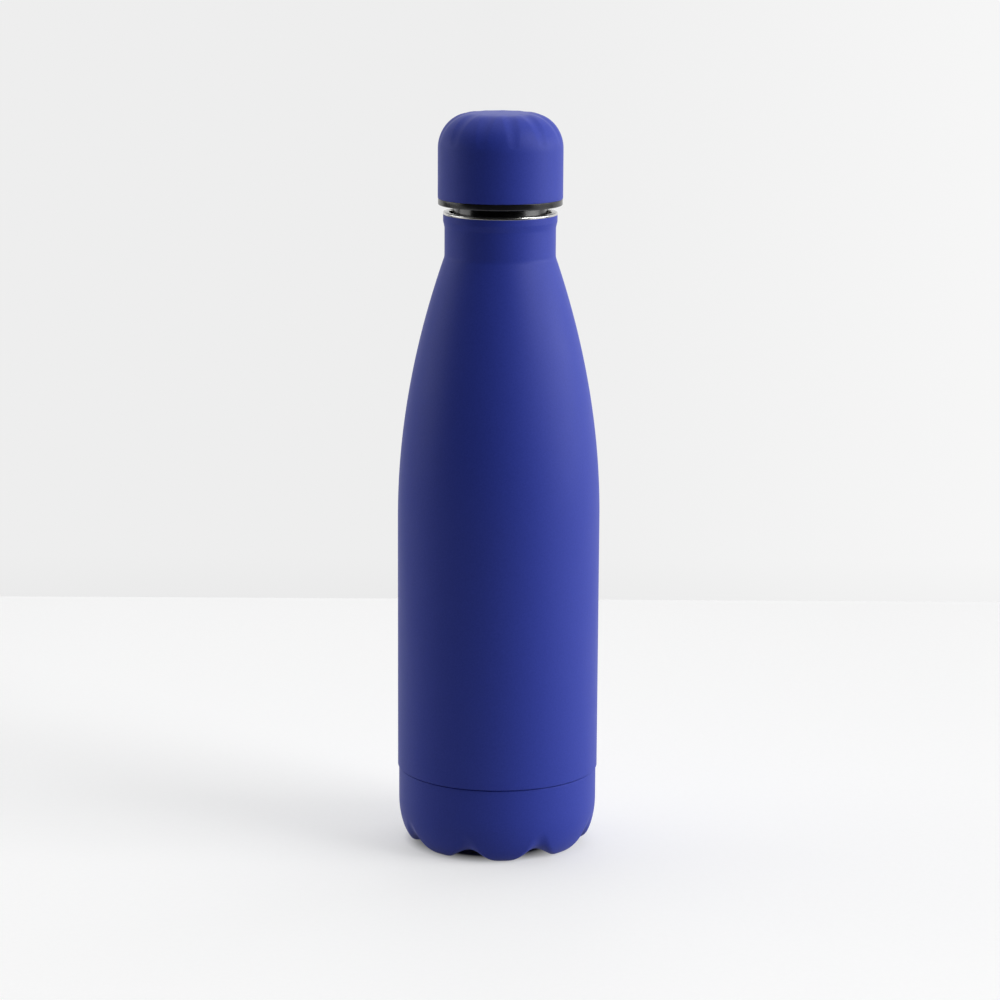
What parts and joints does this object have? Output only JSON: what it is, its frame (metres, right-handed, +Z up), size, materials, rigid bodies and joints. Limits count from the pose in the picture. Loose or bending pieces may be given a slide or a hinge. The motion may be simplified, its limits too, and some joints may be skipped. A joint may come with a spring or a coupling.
{
  "type": "water bottle",
  "caption": "Vacuum-insulated steel drinking bottle with a screw-in domed stopper, bare steel lip, narrow neck and petal foot.",
  "frame": {"origin": "on the bottle's axis at the plane that the feet stand on", "axes": "+Z up the bottle's axis towards the cap, the front faces -Y, +X to the right seen from the front"},
  "size_m": [0.071, 0.071, 0.2595],
  "materials": {
    "blue_coat": "matte soft-touch powder coat on steel",
    "bare_steel": "polished stainless steel",
    "copper": "bright copper foil",
    "getter_alloy": "grey sintered alloy",
    "solder": "dull solder",
    "black_plastic": "glossy black polypropylene",
    "white_foam": "expanded foam",
    "silicone": "translucent silicone"
  },
  "bodies": {
    "bottle": {"outer_shell": "blue_coat", "base_cup": "blue_coat", "shell_bottom": "bare_steel", "vacuum_seal": "solder", "inner_flask": "bare_steel", "flask_bottom": "bare_steel", "copper_foil": "copper", "getter": "getter_alloy", "getter_clip": "bare_steel"},
    "seal": {"seal_ring": "silicone"},
    "cap": {"cap_shell": "blue_coat", "stopper_body": "black_plastic", "stopper_foam": "white_foam", "stopper_lid": "black_plastic"}
  },
  "joints": [
    {"name": "cap_rise", "type": "slide", "parent": "bottle", "child": "seal", "axis": [0, 0, 1], "range_m": [0, 0.024]},
    {"name": "cap_turn", "type": "hinge", "parent": "seal", "child": "cap", "pos_m": [0, 0, 0.2287], "axis": [0, 0, 1], "range_deg": [0, 1080]}
  ],
  "couplings": [
    {"joint": "cap_rise", "follows": "cap_turn", "m_per_rad": 0.0012732}
  ]
}
